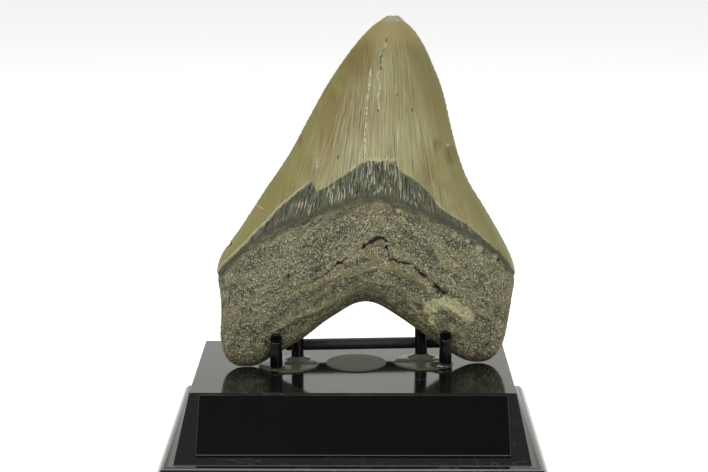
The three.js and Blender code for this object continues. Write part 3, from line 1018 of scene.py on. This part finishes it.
# %% Rod shapes
SLEEVE = 2.25 * MM
SLEEVE_WALL = 0.8 * MM
WIRE_SUNK = 1.2 * MM
FOOT_SUNK = 1.3 * MM
WIRE_SHORT = 0.6  # the wire's end lies this share of that depth below the lip
LIP_ROUND = 0.34 * MM
WAIST = ((0.42, 1.0), (0.55, 0.95), (0.68, 0.92))
CUTS = {"left_peg": 32, "right_peg": 32, "left_post": 0, "right_post": 0}
BAR_RADIUS = 2.1 * MM
ROD_SIDES = 48


def line_of(node):
    """The two ends of a packed rod, lower or left end first."""
    points = np.unique(np.array([vertex.co[:] for vertex in nodes[node].data.vertices]).round(7), axis=0)
    middle = (points.min(0) + points.max(0)) / 2
    along = np.linalg.svd(points - points.mean(0))[2][0]
    along *= np.sign(along[2] if abs(along[2]) > 0.5 else along[0])
    reach = (points - middle) @ along
    return Vector(middle + along * reach.min()), Vector(middle + along * reach.max())


def stand_up(piece, name, start, finish):
    """Places a piece modelled from the origin up Z along the line from start to finish."""
    piece.rotation_euler = (finish - start).to_track_quat("Z", "Y").to_euler()
    piece.location = start
    return settle(piece, name)


def new_rod(name, length, radius, dome, domed=(0,)):
    """A rod from the origin up Z, rounded at the heights that domed lists."""
    bpy.ops.mesh.primitive_cylinder_add(
        vertices=ROD_SIDES, radius=radius, depth=length, location=(0, 0, length / 2)
    )
    rod = settle(bpy.context.object, name)
    for height in domed:
        pick(rod, edges=level_at(height))
        bpy.ops.mesh.bevel(offset=dome, segments=7)
        close(rod)
    return rod


def sleeved_rod(name, node, cut):
    """A rod in a sleeve whose top is cut off at an angle, lower at the front."""
    start, finish = line_of(node)
    up = (finish - start).normalized()
    start -= up * FOOT_SUNK
    length = (finish - start).length
    rod = new_rod(name, length, SLEEVE, SLEEVE * 0.8)
    # a waist under the cut end, where the sleeve is stretched
    for share, girth in WAIST if cut else []:
        slice_level(rod, share * length)
        resize_ring(rod, share * length, girth)
    stand_up(rod, name, start, finish)
    out_of_cut = up
    if cut:
        out_of_cut = Vector((0, -sin(cut), cos(cut)))
        pick(rod, faces=lambda face: True)
        bpy.ops.mesh.bisect(
            plane_co=finish - up * SLEEVE * sin(cut) / cos(cut), plane_no=out_of_cut,
            clear_outer=True, use_fill=True,
        )
        leave()
    pick(rod, faces=lambda face: face.normal.dot(out_of_cut) > 0.99 and len(face.verts) > 8)
    bpy.ops.mesh.inset(thickness=SLEEVE_WALL)
    extrude(-out_of_cut * WIRE_SUNK)
    close(rod)
    bevel_arrises(rod, LIP_ROUND, 5, 38)
    # the wire's end stands up in the middle of the bore
    pick(rod, faces=lambda face: face.normal.dot(out_of_cut) > 0.99 and len(face.verts) > 8)
    bpy.ops.mesh.inset(thickness=0.1 * MM)
    extrude(out_of_cut * (1 - WIRE_SHORT) * WIRE_SUNK)
    close(rod)
    smooth(rod)
    return rod


start, finish = line_of("rear_bar")
bar_length = (finish - start).length
bar = new_rod("painted_bar", bar_length, BAR_RADIUS, BAR_RADIUS * 0.75, domed=(0, bar_length))
stand_up(bar, "painted_bar", start, finish)
smooth(bar)
sleeved = {node: sleeved_rod(node + "_sleeve", node, radians(cut)) for node, cut in CUTS.items()}
print("bar", round(bar_length / MM, 1), "mm long; sleeves:", ", ".join(sleeved))

# %% [markdown]
# ## The rods' finishes
# The sleeves are glossy black plastic, hazed a little by handling. A sleeve's cut lip is clean
# plastic that reflects more, so its round edge catches the lamps. It is black like the rest, and
# its glint comes from the shader and the lamps. The bar has a satin paint with a fine grit.

# %% Rod finishes
sleeve_finish, shader = new_finish("glossy_sleeve")
haze = clouds(place(), 420.0, 3.0)
set_shader(
    shader, base=mix(haze, (0.0015, 0.0022, 0.0017, 1), (0.003, 0.0038, 0.0032, 1)),
    rough=span(haze, 0.3, 0.7, 0.1, 0.2),
    normal=bump(clouds(place(), 520.0, 2.0), 0.05 * MM), specular=0.1,
)

lip_finish, shader = new_finish("cut_sleeve_lip")
set_shader(shader, base=(0.003, 0.0038, 0.0032, 1), rough=0.18, specular=1.0)

satin_paint, shader = new_finish("satin_black_paint")
grit = clouds(place(), 1500.0, 3.0, 0.7)
gritty = mix(span(grit, 0.45, 0.7), (0.004, 0.004, 0.0034, 1), (0.018, 0.018, 0.015, 1))
set_shader(
    shader, base=gritty, rough=span(grit, 0.3, 0.7, 0.42, 0.6),
    normal=bump(grit, 0.12 * MM), specular=0.35,
)

finish_piece(bar, "satin_black_rod", ["rear_bar"], satin_paint)
for node, rod in sleeved.items():
    finish_piece(rod, "glossy_sleeve", [node], sleeve_finish, lip_finish)

# %% [markdown]
# ## Pads and set glue
# Three thin round pads lie on the marble, and clear glue has run up the posts and set round the
# pegs. A pad is a cylinder whose top is inset and whose rim is then let down, so that it slopes off
# to its edge. A collar of glue is a cylinder sliced level and drawn in ring by ring, so that it
# rises in a hollow curve as a wet edge does. A drop is a flattened ball, cut off at the marble.

# %% Pad and glue shapes
PAD_SIDES = 72
PAD_THICK = 0.8 * MM
PAD_SLOPE = 0.9 * MM
PAD_FALLS = {"left_disc": 0.3 * MM, "middle_disc": 0.2 * MM, "right_disc": 0.3 * MM}
GLUE_FOOT = base_top + PAD_THICK - 0.1 * MM
COLLAR_RINGS = (0.12, 0.28, 0.48, 0.72)


def new_pad(name, node, fall):
    """A flat pad whose top slopes down by fall to its rim."""
    low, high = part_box(node)
    thick = PAD_THICK - 0.02 * MM
    radius = (high.x - low.x) / 2
    middle = (low + high) / 2
    bpy.ops.mesh.primitive_cylinder_add(
        vertices=PAD_SIDES, radius=radius, depth=thick,
        location=(middle.x, middle.y, base_top + PAD_THICK - thick / 2),
    )
    pad = settle(bpy.context.object, name)
    pick(pad, faces=lambda face: face.normal.z > 0.9)
    bpy.ops.mesh.inset(thickness=PAD_SLOPE)
    leave()
    top_edge = level_at(base_top + PAD_THICK)
    pick(pad, edges=lambda edge: top_edge(edge) and all(
        (vertex.co.xy - middle.xy).length > radius - 0.1 * MM for vertex in edge.verts
    ))
    bpy.ops.transform.translate(value=(0, 0, -fall))
    close(pad)
    modify(pad, "BEVEL", width=0.15 * MM, segments=3, limit_method="ANGLE", angle_limit=radians(40))
    smooth(pad, 50)
    return pad


def glue_collar(name, rod_node, wide, tall):
    """A hollow-sided collar of glue round a rod's foot."""
    foot = line_of(rod_node)[0]
    bpy.ops.mesh.primitive_cylinder_add(vertices=40, radius=wide, depth=tall, location=(0, 0, tall / 2))
    collar = settle(bpy.context.object, name)
    for share in COLLAR_RINGS:
        slice_level(collar, share * tall)
    narrow = SLEEVE * 1.06
    for share in (*COLLAR_RINGS, 1):
        resize_ring(collar, share * tall, (narrow + (wide - narrow) * (1 - share) ** 2.6) / wide)
    collar.location = (foot.x, foot.y, GLUE_FOOT)
    settle(collar, name)
    modify(collar, "SUBSURF", levels=1, render_levels=1)
    smooth(collar, 60)
    return collar


def glue_drop(name, rod_node, aside, size, turn):
    """A flat uneven drop of glue beside a rod's foot."""
    foot = line_of(rod_node)[0]
    bpy.ops.mesh.primitive_uv_sphere_add(segments=32, ring_count=16, radius=1)
    drop = bpy.context.object
    drop.scale = size
    drop.rotation_euler.z = turn
    drop.location = (foot.x + aside.x, foot.y + aside.y, GLUE_FOOT)
    settle(drop, name)
    pick(drop, faces=lambda face: True)
    bpy.ops.mesh.bisect(
        plane_co=(0, 0, base_top + 0.05 * MM), plane_no=(0, 0, 1), clear_inner=True, use_fill=True
    )
    bpy.ops.mesh.select_all(action="SELECT")
    bpy.ops.mesh.remove_doubles(threshold=0.03 * MM)
    close(drop)
    # seeded noise makes its outline uneven
    for vertex in drop.data.vertices:
        lump = noise.noise(vertex.co / (2.2 * MM)) * 0.22 * MM
        vertex.co.x += lump
        vertex.co.y += lump
    drop.data.validate()
    smooth(drop, 60)
    return drop


pads = {node: new_pad(node + "_pad", node, fall) for node, fall in PAD_FALLS.items()}
collars = [
    glue_collar("left_post_glue", "left_post", 5.6 * MM, 1.3 * MM),
    glue_collar("right_post_glue", "right_post", 5.8 * MM, 1.5 * MM),
]
drops = [
    glue_drop("left_peg_glue", "left_peg", Vector((0.5, -0.4)) * MM, Vector((3.1, 2.9, 1.0)) * MM, 0.2),
    glue_drop("right_peg_glue", "right_peg", Vector((-1.6, 0.2)) * MM, Vector((4.2, 3.0, 1.7)) * MM, -0.3),
]
print(len(pads), "pads,", len(collars), "collars,", len(drops), "drops of glue")

# %% [markdown]
# ## The finish of pads and glue
# The outer pads and the collars are a clear plastic gone hazy: a little light goes through, and
# most is turned back at a soft sheen. The drops are clear set glue. The middle pad is matt, like
# felt. Clear parts are plain transmission.

# %% Pad and glue finishes
clear, shader = new_finish("clear_pad")
film = clouds(place(), 150.0, 3.0)
set_shader(
    shader, base=(0.09, 0.096, 0.066, 1), rough=span(film, 0.35, 0.7, 0.14, 0.24),
    normal=bump(clouds(place(), 70.0, 2.0), 0.05 * MM),
    clear=0.2, ior=1.27, specular=0.5,
)

glue, shader = new_finish("set_glue")
set_shader(
    shader, base=(0.2, 0.21, 0.14, 1), rough=0.03, clear=0.85, ior=1.48,
    normal=bump(clouds(place(), 420.0, 2.0), 0.12 * MM),
)

matt, shader = new_finish("matt_pad")
felt = clouds(place(), 700.0, 3.0, 0.6)
set_shader(
    shader, base=mix(felt, seen(84, 86, 72), seen(104, 106, 90)),
    rough=span(felt, 0.3, 0.7, 0.5, 0.68), normal=bump(felt, 0.03 * MM),
)

finish_piece(pads["middle_disc"], "matt_pad", ["middle_disc"], matt)
for node in ("left_disc", "right_disc"):
    finish_piece(pads[node], "clear_pad", [node], clear)
for collar in collars:
    finish_piece(collar, "clear_pad", [], clear)
for drop in drops:
    finish_piece(drop, "clear_pad", [], glue)
